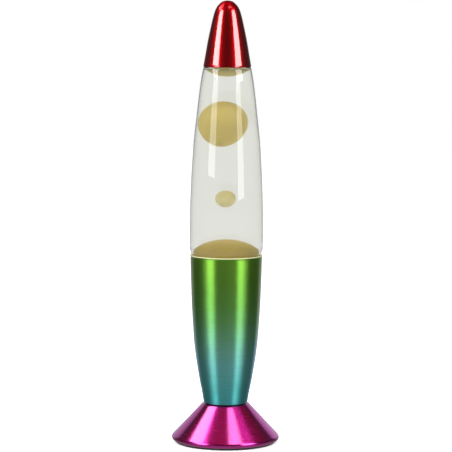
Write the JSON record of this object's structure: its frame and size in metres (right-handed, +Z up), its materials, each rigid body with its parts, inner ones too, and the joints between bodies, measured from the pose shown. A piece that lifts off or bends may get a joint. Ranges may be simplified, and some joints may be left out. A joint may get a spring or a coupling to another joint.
{
  "type": "lava lamp",
  "caption": "Table lava lamp: flared foot cone, tapered cup over a screw-in reflector bulb, lift-out glass bottle of liquid and drifting wax, and a bullet-shaped lift-off cap.",
  "frame": {"origin": "On the lamp's vertical axis, at the level of the surface it stands on.", "axes": "+Z is up along the lamp's axis. +Y is the back, where the cord's gland is. +X is to the right when the lamp is seen from the front."},
  "size_m": [0.0988, 0.0988, 0.41],
  "materials": {
    "magenta_metal": "magenta satin anodised sheet",
    "green_metal": "satin anodised sheet, green at the rim shading to teal at the waist",
    "red_lacquer": "clear red lacquer over bright metal",
    "clear_glass": "clear, polished",
    "bulb_glass": "clear at the front, mirrored inside behind it",
    "wax": "ochre wax, smooth and slightly translucent",
    "steel": "bright zinc",
    "brass": "plain",
    "black_plastic": "moulded, matt",
    "black_rubber": "matt",
    "black_glass": "glassy black",
    "porcelain": "glazed white",
    "white_liner": "soft sealing disc",
    "tungsten": "dull grey wire"
  },
  "bodies": {
    "stand": {"foot_cone": "magenta_metal", "foot_ring": "black_rubber", "base_cover": "black_plastic", "cord_gland": "black_rubber", "tie_tube": "steel", "cover_nut": "steel", "cover_washer": "steel", "cone_nut": "steel", "cone_washer": "steel", "waist_ring": "black_plastic", "cup": "green_metal", "holder_washer": "steel", "holder_nut": "steel", "holder_base": "black_plastic", "holder_core": "porcelain", "terminal_screw_1": "brass", "terminal_screw_2": "brass", "centre_contact": "brass", "thread_shell": "brass", "holder_sleeve": "black_plastic"},
    "bulb_thrust": {"bulb_contact": "steel", "bulb_insulator": "black_glass"},
    "bulb": {"bulb_screw_base": "brass", "bulb_envelope": "bulb_glass", "bulb_stem": "bulb_glass", "lead_wire_1": "steel", "lead_wire_2": "steel", "filament": "tungsten"},
    "bottle": {"glass_bottle": "clear_glass", "wax_pool": "wax", "wire_coil": "steel", "wax_top": "wax", "crown_liner": "white_liner", "crown_cap": "steel"},
    "large_blob": {"wax_blob_large": "wax"},
    "small_blob": {"wax_blob_small": "wax"},
    "cap": {"top_cap": "red_lacquer"}
  },
  "joints": [
    {"name": "bulb_rise", "type": "slide", "parent": "stand", "child": "bulb_thrust", "axis": [0, 0, 1], "range_m": [0, 0.0113]},
    {"name": "bulb_turn", "type": "hinge", "parent": "bulb_thrust", "child": "bulb", "pos_m": [0, 0, 0.065], "axis": [0, 0, 1], "range_deg": [0, 1440]},
    {"name": "bottle_lift", "type": "slide", "parent": "stand", "child": "bottle", "axis": [0, 0, 1], "range_m": [0, 0.08]},
    {"name": "cap_lift", "type": "slide", "parent": "bottle", "child": "cap", "axis": [0, 0, 1], "range_m": [0, 0.06]},
    {"name": "large_blob_drift", "type": "slide", "parent": "bottle", "child": "large_blob", "axis": [0, 0, 1], "range_m": [-0.0195, 0.0205]},
    {"name": "small_blob_drift", "type": "slide", "parent": "bottle", "child": "small_blob", "axis": [0, 0, 1], "range_m": [-0.0285, 0.0195]}
  ],
  "couplings": [
    {"joint": "bulb_rise", "follows": "bulb_turn", "m_per_rad": 0.00044882}
  ]
}
